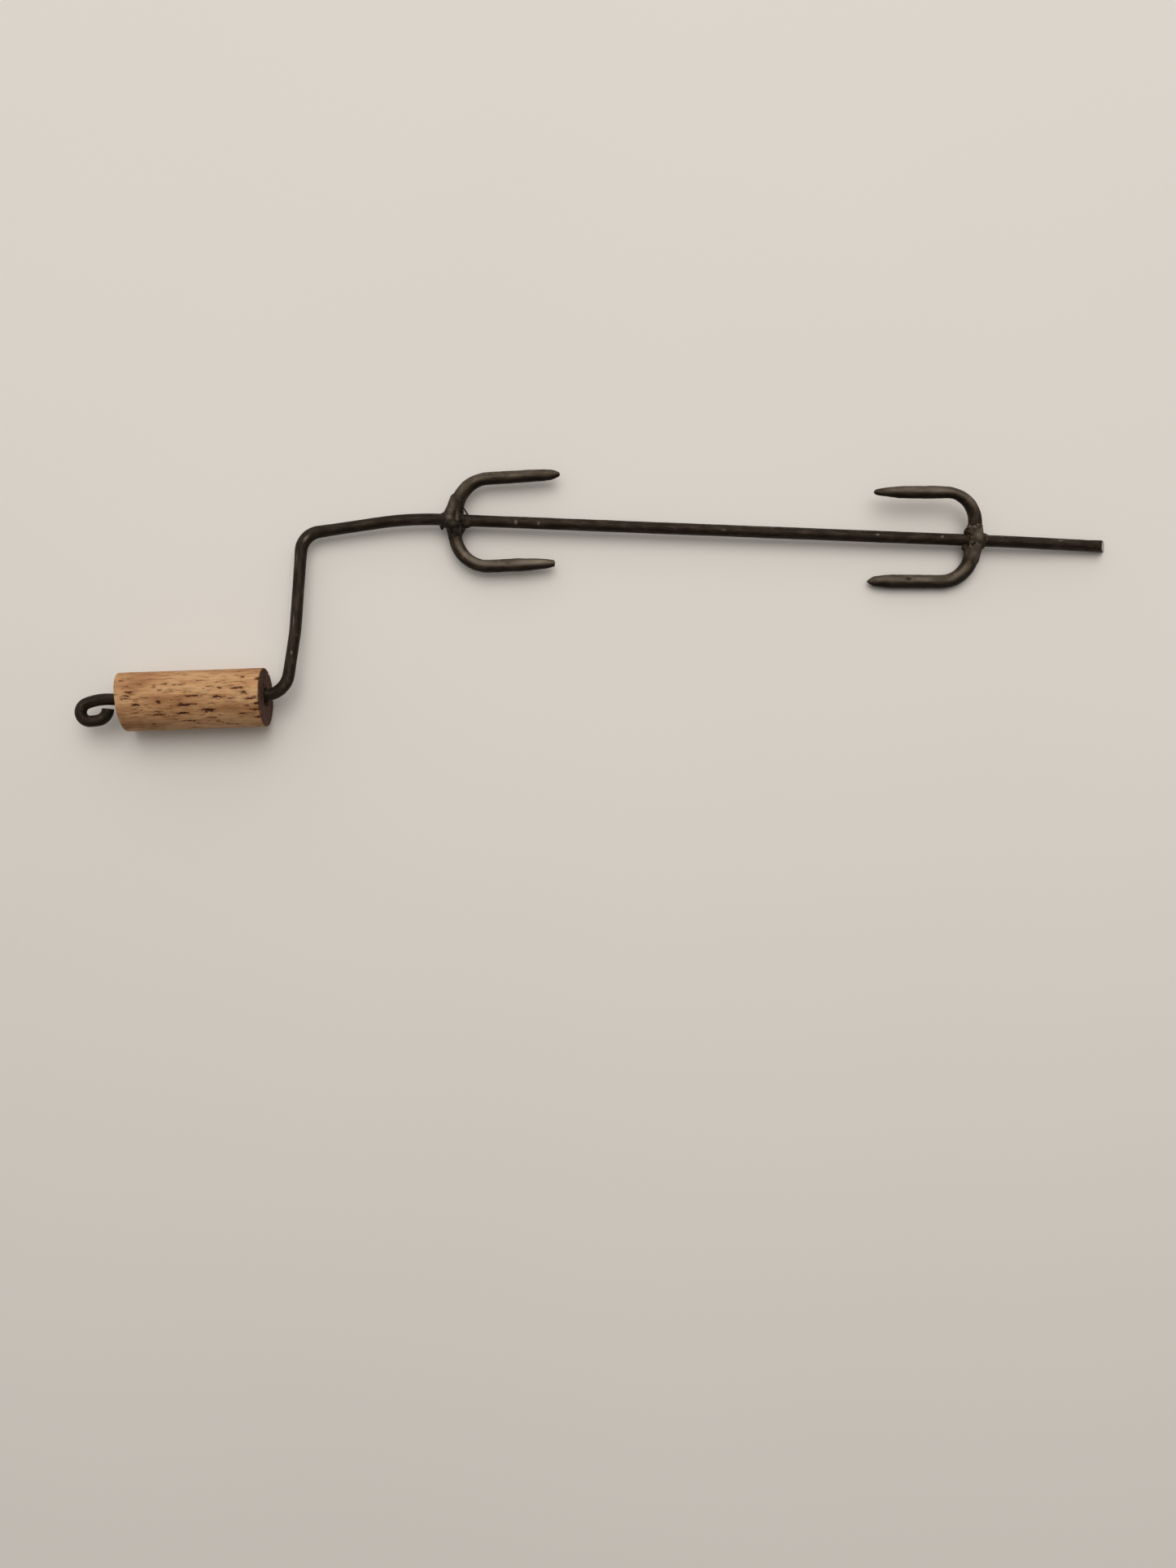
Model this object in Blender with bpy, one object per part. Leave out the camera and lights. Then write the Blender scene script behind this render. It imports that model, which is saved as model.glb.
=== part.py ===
"""A miniature hand-cranked rotisserie spit: a bent steel rod, two facing two-tine forks, a turning wooden grip.

Metres, +Z up. The object lies as it does on a table, with its lowest points at Z = 0. +X runs along the
spit to its cut tip, and +Y points from the grip's side to the spit's side. The origin is the middle of
the underside of the whole object's box.
"""

import math
from collections import namedtuple

import bmesh
import bpy
from mathutils import Matrix, Vector

MM = 0.001

# Stock
ROD_RADIUS = 1.5875 / 2 * MM
GRIP_RADIUS = 7.9375 / 2 * MM
GRIP_LENGTH = 19.5 * MM
GRIP_BORE_RADIUS = 1.27 * MM

# The spit, the straight part of the rod that carries the food
SPIT_Y = 11.66 * MM
SPIT_TIP_X = 69.26 * MM
SPIT_TIP_HEIGHT = 1.08 * MM
SPIT_TIP_SLANT = math.radians(35)
SPIT_DROOP_X = 56.85 * MM
SPIT_DROOP_RADIUS = 60 * MM
NEAR_FORK_X = -19.55 * MM
FAR_FORK_X = 51.15 * MM
NEAR_FORK_HEIGHT = 2.15 * MM
FAR_FORK_HEIGHT = 1.9 * MM

# The crank: a slight bow, a tight elbow, the arm, and the bend into the hand rod
BOW_X = -25.85 * MM
BOW_HEIGHT = 2.2 * MM
BOW_RADIUS = 48 * MM
ELBOW = Vector((-40.5, 8.95, 1.95)) * MM
ELBOW_RADIUS = 2.8 * MM
ARM_KNEE = Vector((-40.62, -4.48, 3.25)) * MM
ARM_KNEE_RADIUS = 30 * MM
ARM_FOOT = Vector((-41.43, -13.16, 3.97)) * MM
ARM_FOOT_RADIUS = 3.3 * MM

# The hand rod and the eye that keeps the grip on
HAND_ROD_SLOPE = math.radians(3.8)
EYE_START_X = -64.65 * MM
EYE_LEAD = math.radians(7)
EYE_BENDS = (
    (7.6 * MM, math.radians(28)),
    (1.25 * MM, math.radians(160)),
    (6.5 * MM, math.radians(10)),
    (1.6 * MM, math.radians(72)),
)
EYE_TAIL = 0.15 * MM

# The grip lies on the table, so the hand rod sits off the middle of its bore
GRIP_FACE = Vector((-44.05, -13.61, 3.97)) * MM
GRIP_EDGE = 0.15 * MM
GRIP_WORN_EDGE = 0.3 * MM
GRIP_SAW_SLANT = math.radians(5)
GRIP_SAW_TURN = math.radians(5.4)
GRIP_SLOPE = math.radians(4.1)

# A tine: its fork, where its bend's sides would meet, the bend's radius, its tip and its two radii
Tine = namedtuple("Tine", "fork_x corner bend tip leg_radius run_radius weld")
# A weld: how far it reaches along the tine, and half its size along the rod and half its height
Weld = namedtuple("Weld", "length half_width half_height")
NEAR_WELD = Weld(2.9 * MM, 1.85 * MM, 2.15 * MM)
FAR_UPPER_WELD = Weld(2.7 * MM, 1.65 * MM, 1.7 * MM)
FAR_LOWER_WELD = Weld(2.9 * MM, 1.65 * MM, 1.7 * MM)
TINES = {
    "near_fork_upper": Tine(
        NEAR_FORK_X,
        Vector((-19.5, 17.07, 2.25)) * MM,
        4.6 * MM,
        Vector((-5.6, 18.47, 2.2)) * MM,
        0.96 * MM,
        0.84 * MM,
        NEAR_WELD,
    ),
    "near_fork_lower": Tine(
        NEAR_FORK_X,
        Vector((-19.68, 5.2, 1.85)) * MM,
        4.4 * MM,
        Vector((-5.8, 6.35, 1.8)) * MM,
        0.9 * MM,
        0.87 * MM,
        NEAR_WELD,
    ),
    "far_fork_upper": Tine(
        FAR_FORK_X,
        Vector((51.3, 17.82, 3.62)) * MM,
        4.3 * MM,
        Vector((37, 17.34, 3.6)) * MM,
        0.81 * MM,
        0.85 * MM,
        FAR_UPPER_WELD,
    ),
    "far_fork_lower": Tine(
        FAR_FORK_X,
        Vector((51.1, 6.14, 0.93)) * MM,
        4.0 * MM,
        Vector((37.1, 5.67, 0.9)) * MM,
        0.95 * MM,
        0.9 * MM,
        FAR_LOWER_WELD,
    ),
}
TINE_TAPER = 4.2 * MM
TINE_TAPER_STOPS = (1, 0.55, 0.22)
TINE_TAPER_POWER = 0.55
TINE_TIP_RADIUS = 0.3 * MM

# Each tine's butt end stands off the spit's axis, inside its weld
BUTT_STAND_OFF = 1.15 * MM
WELD_GAP = 0.025 * MM
WELD_LIP = 0.12 * MM
WELD_SWELL_POWER = 1.4
WELD_SIDES = 24
WELD_RINGS = 9

RING_SIDES = 16
GRIP_SIDES = 64
ARC_STEP = math.radians(7)
SHARP_ANGLE = math.radians(40)

STEEL_COLOUR = (0.043, 0.036, 0.03, 1)
WELD_COLOUR = (0.05, 0.043, 0.036, 1)
WOOD_COLOUR = (0.5, 0.3, 0.15, 1)


def clear_scene():
    for obj in list(bpy.data.objects):
        bpy.data.objects.remove(obj, do_unlink=True)


def material(name, colour, roughness, metallic):
    made = bpy.data.materials.new(name)
    made.use_nodes = True
    shader = made.node_tree.nodes["Principled BSDF"]
    shader.inputs["Base Color"].default_value = colour
    shader.inputs["Roughness"].default_value = roughness
    shader.inputs["Metallic"].default_value = metallic
    made.diffuse_color = colour
    return made


def add_object(name, mesh_maker, finish, origin=None):
    """A new object from a bmesh in world coordinates, with its own origin at the given place."""
    mesh = bpy.data.meshes.new(name)
    bmesh.ops.recalc_face_normals(mesh_maker, faces=mesh_maker.faces)
    if origin is not None:
        bmesh.ops.translate(mesh_maker, verts=mesh_maker.verts, vec=-origin)
    mesh_maker.to_mesh(mesh)
    mesh_maker.free()
    if finish is not None:
        mesh.materials.append(finish)
    mesh.shade_smooth()
    mesh.set_sharp_from_angle(angle=SHARP_ANGLE)
    obj = bpy.data.objects.new(name, mesh)
    if origin is not None:
        obj.location = origin
    bpy.context.scene.collection.objects.link(obj)
    return obj


def arc_between(start, corner, end, radius):
    """Points of the arc that rounds a corner, or the corner itself where there is no radius."""
    if radius == 0:
        return [corner.copy()]
    before = (start - corner).normalized()
    after = (end - corner).normalized()
    half = before.angle(after) / 2
    centre = corner + (before + after).normalized() * radius / math.sin(half)
    tangent = radius / math.tan(half)
    first = corner + before * tangent - centre
    turn = math.pi - 2 * half
    axis = before.cross(after)
    steps = max(2, math.ceil(turn / ARC_STEP))
    return [centre + Matrix.Rotation(-turn * i / steps, 3, axis) @ first for i in range(steps + 1)]


def rounded_path(corners):
    """A path through (point, radius) corners, with an arc at each one that has a radius."""
    path = [corners[0][0].copy()]
    for before, here, after in zip(corners, corners[1:], corners[2:]):
        path += arc_between(before[0], here[0], after[0], here[1])
    return path + [corners[-1][0].copy()]


def curl(start, heading, bends, tail):
    """A flat path that turns left through each (radius, angle) bend and ends in a straight tail."""
    path = []
    place = start.copy()
    for radius, angle in bends:
        steps = max(2, math.ceil(angle / ARC_STEP))
        for _ in range(steps):
            after = heading + angle / steps
            place = place + radius * Vector(
                (math.sin(after) - math.sin(heading), math.cos(heading) - math.cos(after), 0)
            )
            heading = after
            path.append(place)
    path.append(place + tail * Vector((math.cos(heading), math.sin(heading), 0)))
    return path


def ring_frames(path):
    """A side vector and an up vector at each point, carried along the path without twist."""
    frames = []
    up = Vector((0, 0, 1))
    for i, point in enumerate(path):
        before = path[max(i - 1, 0)]
        after = path[min(i + 1, len(path) - 1)]
        forward = (after - before).normalized()
        side = forward.cross(up).normalized()
        up = side.cross(forward)
        frames.append((point, side, up.copy()))
    return frames


def close_loft(maker, rings):
    """Bridges each ring to the next and caps both ends."""
    for ring, following in zip(rings, rings[1:]):
        for i in range(len(ring)):
            j = (i + 1) % len(ring)
            maker.faces.new((ring[i], ring[j], following[j], following[i]))
    maker.faces.new(rings[0])
    maker.faces.new(rings[-1])


def wire(path, radii):
    """A round wire along a path, with a radius for each of its points."""
    maker = bmesh.new()
    rings = []
    for (point, side, up), radius in zip(ring_frames(path), radii):
        ring = []
        for k in range(RING_SIDES):
            angle = 2 * math.pi * k / RING_SIDES
            ring.append(maker.verts.new(point + radius * (math.cos(angle) * side + math.sin(angle) * up)))
        rings.append(ring)
    close_loft(maker, rings)
    return maker


def distances_to_end(path):
    """How far each point is from the path's last point, along the path."""
    left = [0.0]
    for here, following in zip(reversed(path[:-1]), reversed(path[1:])):
        left.append(left[-1] + (following - here).length)
    return left[::-1]


def rod_path():
    """The rod's centreline, from the spit's tip, through the crank, to the end of the eye."""
    hand_rod_reach = ARM_FOOT.x - EYE_START_X
    eye_start = ARM_FOOT - hand_rod_reach * Vector((1, math.tan(HAND_ROD_SLOPE), 0))
    path = rounded_path(
        [
            (Vector((SPIT_TIP_X, SPIT_Y, SPIT_TIP_HEIGHT)), 0),
            (Vector((SPIT_DROOP_X, SPIT_Y, FAR_FORK_HEIGHT)), SPIT_DROOP_RADIUS),
            (Vector((BOW_X, SPIT_Y, BOW_HEIGHT)), BOW_RADIUS),
            (ELBOW, ELBOW_RADIUS),
            (ARM_KNEE, ARM_KNEE_RADIUS),
            (ARM_FOOT, ARM_FOOT_RADIUS),
            (eye_start, 0),
        ]
    )
    return path + curl(eye_start, math.pi + HAND_ROD_SLOPE - EYE_LEAD, EYE_BENDS, EYE_TAIL)


def spit_axis_at(x):
    """The spit's centre at a place between the two forks."""
    share = (x - NEAR_FORK_X) / (FAR_FORK_X - NEAR_FORK_X)
    return Vector((x, SPIT_Y, NEAR_FORK_HEIGHT + share * (FAR_FORK_HEIGHT - NEAR_FORK_HEIGHT)))


def make_rod(steel):
    """The rod, with its tip nipped off at a slant that faces up and outwards."""
    path = rod_path()
    maker = wire(path, [ROD_RADIUS] * len(path))
    outward = (path[0] - path[1]).normalized()
    maker.verts.ensure_lookup_table()
    for vert in maker.verts[:RING_SIDES]:
        vert.co -= outward * (vert.co - path[0]).z * math.tan(SPIT_TIP_SLANT)
    return add_object("spit_rod", maker, steel)


def tine_path(tine):
    """A tine's centreline, from its butt end beside the spit to its point."""
    foot = spit_axis_at(tine.fork_x)
    leg = (tine.corner - foot).normalized()
    path = rounded_path([(foot + leg * BUTT_STAND_OFF, 0), (tine.corner, tine.bend), (tine.tip, 0)])
    run = (tine.tip - path[-2]).normalized()
    for stop in TINE_TAPER_STOPS:
        path.insert(-1, tine.tip - run * stop * TINE_TAPER)
    return path


def make_tine(name, tine, path, steel):
    """The wire changes from its leg's radius to its run's, and then tapers to a blunt point."""
    left = distances_to_end(path)
    radii = []
    for distance in left:
        past_leg = min(1, 2 * (1 - distance / left[0]))
        full = tine.leg_radius + (tine.run_radius - tine.leg_radius) * past_leg
        taper = min(1, distance / TINE_TAPER) ** TINE_TAPER_POWER
        radii.append(TINE_TIP_RADIUS + (full - TINE_TIP_RADIUS) * taper)
    return add_object(name, wire(path, radii), steel)


def cutter(name, maker):
    obj = add_object(name, maker, None)
    obj.hide_render = True
    obj.display_type = "WIRE"
    return obj


def cut(obj, tool):
    boolean = obj.modifiers.new("cut_" + tool.name, "BOOLEAN")
    boolean.operation = "DIFFERENCE"
    boolean.solver = "EXACT"
    boolean.object = tool


def centre_at_y(path, y):
    """Where a tine's centreline is at a given Y, on its way out from the spit."""
    for here, following in zip(path, path[1:]):
        if abs(following.y - SPIT_Y) >= abs(y - SPIT_Y):
            return here.lerp(following, (y - here.y) / (following.y - here.y))
    return path[-1].copy()


def make_weld(name, tine, path, finish):
    """Half of the lump of weld metal at a crossing: a saddle on the rod that grips one tine's butt end."""
    foot = spit_axis_at(tine.fork_x)
    away = math.copysign(1, path[0].y - SPIT_Y)
    collar = tine.leg_radius + WELD_LIP
    maker = bmesh.new()
    rings = []
    for i in range(WELD_RINGS):
        share = i / (WELD_RINGS - 1)
        centre = centre_at_y([foot] + path, SPIT_Y + away * (WELD_GAP + share * tine.weld.length))
        swell = math.cos(share * math.pi / 2) ** WELD_SWELL_POWER
        across = collar + (tine.weld.half_width - collar) * swell
        deep = collar + (tine.weld.half_height - collar) * swell
        ring = []
        for k in range(WELD_SIDES):
            angle = 2 * math.pi * k / WELD_SIDES
            spoke = Vector((across * math.cos(angle), 0, deep * math.sin(angle)))
            ring.append(maker.verts.new(centre + spoke))
        rings.append(ring)
    close_loft(maker, rings)
    weld = add_object(name, maker, finish)

    overrun = 2 * tine.weld.half_width
    along_rod = [spit_axis_at(tine.fork_x - overrun), spit_axis_at(tine.fork_x + overrun)]
    cut(weld, cutter(name + "_rod_hole", wire(along_rod, [ROD_RADIUS + WELD_GAP] * 2)))
    leg = (path[1] - path[0]).normalized()
    along_leg = [path[0] - leg * WELD_GAP]
    along_leg += [point for point in path if abs(point.y - SPIT_Y) < tine.weld.length + overrun]
    leg_hole = wire(along_leg, [tine.leg_radius + WELD_GAP] * len(along_leg))
    cut(weld, cutter(name + "_leg_hole", leg_hole))
    return weld


def grip_axis():
    """The direction from the grip's inner face to its outer one."""
    return Vector((-math.cos(GRIP_SLOPE), -math.sin(GRIP_SLOPE), 0))


def make_grip(wood):
    """A dowel with broken edges and a through bore. Its outer end was sawn slightly off square."""
    outline = (
        (0, GRIP_BORE_RADIUS),
        (0, GRIP_RADIUS - GRIP_EDGE),
        (GRIP_EDGE, GRIP_RADIUS),
        (GRIP_LENGTH - GRIP_WORN_EDGE, GRIP_RADIUS),
        (GRIP_LENGTH, GRIP_RADIUS - GRIP_WORN_EDGE),
        (GRIP_LENGTH, GRIP_BORE_RADIUS),
    )
    along = grip_axis()
    side = Vector((-along.y, along.x, 0))
    up = Vector((0, 0, 1))
    maker = bmesh.new()
    rings = []
    for reach, radius in outline:
        ring = []
        for k in range(GRIP_SIDES):
            angle = 2 * math.pi * k / GRIP_SIDES
            rise = radius * math.sin(angle)
            swing = radius * math.cos(angle)
            lean = 0
            if reach > GRIP_LENGTH / 2:
                lean = rise * math.tan(GRIP_SAW_SLANT) + swing * math.tan(GRIP_SAW_TURN)
            place = GRIP_FACE + along * (reach - lean) + side * swing + up * rise
            ring.append(maker.verts.new(place))
        rings.append(ring)
    for ring, following in zip(rings, rings[1:] + rings[:1]):
        for i in range(GRIP_SIDES):
            j = (i + 1) % GRIP_SIDES
            maker.faces.new((ring[i], ring[j], following[j], following[i]))
    return add_object("wooden_grip", maker, wood, origin=GRIP_FACE)


def main():
    clear_scene()
    steel = material("dark_steel", STEEL_COLOUR, 0.42, 0.9)
    weld_metal = material("weld_metal", WELD_COLOUR, 0.5, 0.9)
    wood = material("open_grained_wood", WOOD_COLOUR, 0.6, 0)

    make_rod(steel)
    make_grip(wood)
    for name, tine in TINES.items():
        path = tine_path(tine)
        make_tine(name + "_tine", tine, path, steel)
        make_weld(name + "_weld", tine, path, weld_metal)


main()
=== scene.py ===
import math
import random

import bmesh
import bpy
import numpy as np
from mathutils import Matrix, Vector, noise


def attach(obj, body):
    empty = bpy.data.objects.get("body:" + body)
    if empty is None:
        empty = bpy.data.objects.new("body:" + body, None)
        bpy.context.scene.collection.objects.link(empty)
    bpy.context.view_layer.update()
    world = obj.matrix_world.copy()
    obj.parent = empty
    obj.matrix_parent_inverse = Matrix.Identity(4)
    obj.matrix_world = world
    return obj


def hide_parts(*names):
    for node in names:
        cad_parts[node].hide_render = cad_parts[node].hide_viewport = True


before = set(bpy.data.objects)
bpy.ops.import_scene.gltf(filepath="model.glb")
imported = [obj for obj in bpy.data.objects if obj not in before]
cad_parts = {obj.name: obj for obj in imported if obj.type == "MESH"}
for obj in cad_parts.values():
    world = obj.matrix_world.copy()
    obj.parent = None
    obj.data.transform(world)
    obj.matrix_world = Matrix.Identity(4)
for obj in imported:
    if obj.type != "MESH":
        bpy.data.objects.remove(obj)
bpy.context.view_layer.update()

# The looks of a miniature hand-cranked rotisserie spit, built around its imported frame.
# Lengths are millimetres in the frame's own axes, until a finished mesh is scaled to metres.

MM = 0.001

# The rod's route, as the frame has it
ROD_RADIUS = 0.794
SPIT_Y = 11.66
SPIT_TIP = Vector((69.26, SPIT_Y, 1.08))
SPIT_TIP_SLANT = math.radians(35)
SPIT_DROOP = Vector((56.85, SPIT_Y, 1.9))
SPIT_DROOP_RADIUS = 60
NEAR_FORK = Vector((-19.55, SPIT_Y, 2.15))
FAR_FORK = Vector((51.15, SPIT_Y, 1.9))
BOW = Vector((-25.85, SPIT_Y, 2.2))
BOW_RADIUS = 48
ELBOW = Vector((-40.5, 8.95, 1.95))
ELBOW_RADIUS = 2.8
ARM_KNEE = Vector((-40.62, -4.48, 3.25))
ARM_KNEE_RADIUS = 30
ARM_FOOT = Vector((-41.43, -13.16, 3.97))
ARM_FOOT_RADIUS = 3.3
HAND_ROD_SLOPE = math.radians(3.8)
EYE_LEAD = math.radians(7)
EYE_START_X = -64.65
EYE_BENDS = (
    (7.6, math.radians(28)),
    (1.25, math.radians(160)),
    (6.5, math.radians(10)),
    (1.6, math.radians(72)),
)
EYE_TAIL = 0.15
BUTT_STAND_OFF = 1.15

# The grip
GRIP_FACE = Vector((-44.05, -13.61, 3.97))
GRIP_RADIUS = 3.969
GRIP_BORE_RADIUS = 1.27
GRIP_LENGTH = 19.5
GRIP_SAW_SLANT = math.radians(5)
GRIP_SAW_TURN = math.radians(5.4)
GRIP_WORN_EDGE = 0.3
GRIP_SLOPE = math.radians(4.1)

ARC_STEP = math.radians(2)
ROD_STEP = 0.14
TINE_STEP = 0.07
ROD_SIDES = 44
TINE_SIDES = 40


# Paths

def arc_between(start, corner, end, radius):
    """Points of the arc that rounds a corner, or the corner itself where there is no radius."""
    if radius == 0:
        return [corner.copy()]
    before = (start - corner).normalized()
    after = (end - corner).normalized()
    half = before.angle(after) / 2
    centre = corner + (before + after).normalized() * radius / math.sin(half)
    tangent = radius / math.tan(half)
    first = corner + before * tangent - centre
    turn = math.pi - 2 * half
    axis = before.cross(after)
    steps = max(2, math.ceil(turn / ARC_STEP))
    return [centre + Matrix.Rotation(-turn * i / steps, 3, axis) @ first for i in range(steps + 1)]


def rounded_path(corners):
    """A path through (point, radius) corners, with an arc at each one that has a radius."""
    path = [corners[0][0].copy()]
    for before, here, after in zip(corners, corners[1:], corners[2:]):
        path += arc_between(before[0], here[0], after[0], here[1])
    return path + [corners[-1][0].copy()]


def curl(start, heading, bends, tail):
    """A flat path that turns left through each (radius, angle) bend and ends in a straight tail."""
    path = []
    place = start.copy()
    for radius, angle in bends:
        steps = max(2, math.ceil(angle / ARC_STEP))
        for _ in range(steps):
            after = heading + angle / steps
            place = place + radius * Vector(
                (math.sin(after) - math.sin(heading), math.cos(heading) - math.cos(after), 0)
            )
            heading = after
            path.append(place)
    path.append(place + tail * Vector((math.cos(heading), math.sin(heading), 0)))
    return path


def rod_path():
    """The rod's centreline, from the spit's tip, through the crank, to the end of the eye."""
    hand_rod_reach = ARM_FOOT.x - EYE_START_X
    eye_start = ARM_FOOT - hand_rod_reach * Vector((1, math.tan(HAND_ROD_SLOPE), 0))
    path = rounded_path(
        [
            (SPIT_TIP, 0),
            (SPIT_DROOP, SPIT_DROOP_RADIUS),
            (BOW, BOW_RADIUS),
            (ELBOW, ELBOW_RADIUS),
            (ARM_KNEE, ARM_KNEE_RADIUS),
            (ARM_FOOT, ARM_FOOT_RADIUS),
            (eye_start, 0),
        ]
    )
    return path + curl(eye_start, math.pi + HAND_ROD_SLOPE - EYE_LEAD, EYE_BENDS, EYE_TAIL)


def tine_path(fork, corner, bend_radius, tip):
    """A tine's centreline, from its butt end beside the spit to its point."""
    leg = (corner - fork).normalized()
    return rounded_path([(fork + leg * BUTT_STAND_OFF, 0), (corner, bend_radius), (tip, 0)])


def resampled(path, step):
    """The path as an array with a point every step along it."""
    points = np.array([tuple(point) for point in path])
    lengths = np.linalg.norm(np.diff(points, axis=0), axis=1)
    along = np.concatenate(([0.0], np.cumsum(lengths)))
    count = max(2, round(along[-1] / step)) + 1
    stations = np.linspace(0, along[-1], count)
    return stations, np.column_stack([np.interp(stations, along, points[:, i]) for i in range(3)])


def unit(vectors):
    return vectors / np.linalg.norm(vectors, axis=-1, keepdims=True)


def frames_along(points):
    """Unit vectors ahead, to the side and up at each point, carried along the path without twist."""
    ahead = unit(np.gradient(points, axis=0))
    side = np.empty_like(points)
    up = np.empty_like(points)
    carried = np.array((0.0, 0.0, 1.0))
    for i, forward in enumerate(ahead):
        side[i] = unit(np.cross(forward, carried))
        carried = np.cross(side[i], forward)
        up[i] = carried
    return ahead, side, up


# Meshes

def grid_faces(rings, sides, joined=False):
    """Quads between rings of points. Joined rings close into a loop, and otherwise each end gets a cap."""
    across = np.arange(sides)
    last = rings if joined else rings - 1
    start = np.arange(last)[:, None] * sides
    after = (np.arange(last)[:, None] + 1) % rings * sides
    beside = (across + 1) % sides
    corners = (start + across, start + beside, after + beside, after + across)
    faces = np.stack(corners, axis=-1).reshape(-1, 4).tolist()
    if not joined:
        faces.append(list(range(sides)))
        faces.append(list(range((rings - 1) * sides, rings * sides)))
    return faces


def store(mesh, name, values):
    """A point attribute: one number, or one vector, for each of the mesh's points."""
    flat = np.asarray(values, np.float32)
    kind, key = ("FLOAT", "value") if flat.ndim == 1 else ("FLOAT_VECTOR", "vector")
    mesh.attributes.new(name, kind, "POINT").data.foreach_set(key, flat.ravel())


def finish_piece(name, mesh, attributes, finish, node, body):
    """Makes the object of a mesh drawn in millimetres, in place of a CAD node if there is one."""
    maker = bmesh.new()
    maker.from_mesh(mesh)
    bmesh.ops.recalc_face_normals(maker, faces=maker.faces)
    maker.to_mesh(mesh)
    maker.free()
    for key, values in attributes.items():
        store(mesh, key, values)
    mesh.transform(Matrix.Scale(MM, 4))
    mesh.materials.append(finish)
    mesh.shade_smooth()
    piece = bpy.data.objects.new(name, mesh)
    bpy.context.scene.collection.objects.link(piece)
    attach(piece, body)
    if node:
        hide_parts(node)


def new_mesh(name, points, faces):
    mesh = bpy.data.meshes.new(name)
    mesh.from_pydata(np.asarray(points).reshape(-1, 3).tolist(), [], faces)
    return mesh


def smooth_noise(points, size, seed):
    """Soft noise from -1 to 1 at each point, with features about this size."""
    shift = Vector((seed * 17.3, seed * 5.9, seed * 11.1))
    return np.array([noise.noise(Vector(point) / size + shift) for point in points])


def hammered(points, size, seed):
    """Shallow round dimples about this size that meet in soft ridges, from 0 to about 1."""
    shift = Vector((seed * 7.7, seed * 3.1, seed * 13.9))
    return np.array([noise.voronoi(Vector(point) / size + shift)[0][0] ** 2 for point in points])


def bump_at(distance, width):
    """1 at no distance, falling smoothly to 0."""
    return np.exp(-((distance / width) ** 2))


def turn_from(angles, angle):
    """How far each angle is turned from another, up to half a turn either way."""
    return (angles - angle + np.pi) % (2 * np.pi) - np.pi


class Wire:
    """A wire's surface as rings of points. Each ring has a place along the path and a share of full size.

    Each of the two caps is (distance from its end, share of full size) rings, or nothing.
    """

    def __init__(self, path, step, sides, caps):
        full_along, full_centres = resampled(path, step)
        ahead, side, up = frames_along(full_centres)
        along = full_along
        shares = np.ones(len(along))
        first_cap, last_cap = (np.array(cap).reshape(-1, 2) for cap in caps)
        if len(first_cap):
            places = along[0] + first_cap[:, 0]
            keep = along > places.max() + step / 2
            along = np.concatenate((places, along[keep]))
            shares = np.concatenate((first_cap[:, 1], shares[keep]))
        if len(last_cap):
            places = along[-1] - last_cap[:, 0]
            keep = along < places.min() - step / 2
            along = np.concatenate((along[keep], places[::-1]))
            shares = np.concatenate((shares[keep], last_cap[::-1, 1]))

        def at(values):
            return np.column_stack([np.interp(along, full_along, values[:, i]) for i in range(3)])

        self.along = along
        self.shares = shares
        self.length = full_along[-1]
        self.centres = at(full_centres)
        self.ahead = unit(at(ahead))
        self.side = unit(at(side))
        self.up = unit(at(up))
        self.angles = 2 * np.pi * np.arange(sides) / sides

    def build(self, half_width, half_height, squareness=2.0):
        """Rings with these half sizes, each a number or one for each station."""
        ones = np.ones(len(self.along))
        power = (2 / (ones * squareness))[:, None]
        cosine, sine = np.cos(self.angles), np.sin(self.angles)
        across = np.sign(cosine) * np.abs(cosine) ** power * (ones * half_width * self.shares)[:, None]
        rise = np.sign(sine) * np.abs(sine) ** power * (ones * half_height * self.shares)[:, None]
        self.across, self.rise = across, rise
        self.outward = across[..., None] * self.side[:, None] + rise[..., None] * self.up[:, None]
        self.points = self.centres[:, None] + self.outward
        self.flow = np.stack((np.broadcast_to(self.along[:, None], across.shape), across, rise), axis=-1)

    def push(self, amounts):
        """Moves each point out along its spoke by an amount in millimetres."""
        spokes = self.outward / np.maximum(np.linalg.norm(self.outward, axis=-1, keepdims=True), 1e-6)
        moves = amounts.reshape(self.across.shape) * self.shares[:, None]
        self.points = self.points + spokes * moves[..., None]

    def flat_points(self):
        return self.points.reshape(-1, 3)

    def mesh(self, name):
        rings, sides = self.across.shape
        return new_mesh(name, self.points, grid_faces(rings, sides))


# Materials. Tones are a ramp's colours, in its order.

ROD_TONES = (
    (0.0085, 0.005, 0.003),
    (0.0175, 0.0115, 0.007),
    (0.031, 0.0205, 0.0135),
    (0.049, 0.0335, 0.022),
)
ROD_RUBBED = (0.075, 0.056, 0.041)
TINE_TONES = (
    (0.0135, 0.0085, 0.005),
    (0.035, 0.0245, 0.0145),
    (0.067, 0.048, 0.0305),
    (0.105, 0.076, 0.0505),
)
TINE_RUBBED = (0.16, 0.125, 0.095)
# Colour of dark marks on the steel, also used as painted shade on the tines' -Y sides and in their dents
STEEL_DARK_AND_SHADE = (0.006, 0.0045, 0.0035)
# Colour of real nicks on the rod, also used as the painted highlight on the tines' upper sides
NICK_AND_HIGHLIGHT_STEEL = (0.27, 0.225, 0.175)
BARE_STEEL = (0.4, 0.375, 0.335)
WELD_TONES = ((0.0195, 0.013, 0.0085), (0.044, 0.032, 0.021), (0.071, 0.053, 0.036), (0.105, 0.08, 0.057))
# Crown colours: partly wear, partly painted highlight on the facets that face the lamp
WELD_CROWN_WEAR_AND_HIGHLIGHT_TONES = ((0.125, 0.1, 0.075), (0.23, 0.187, 0.143))
# Painted shade in the welds' crevices
WELD_CREVICE_SHADE = (0.008, 0.0065, 0.005)
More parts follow.
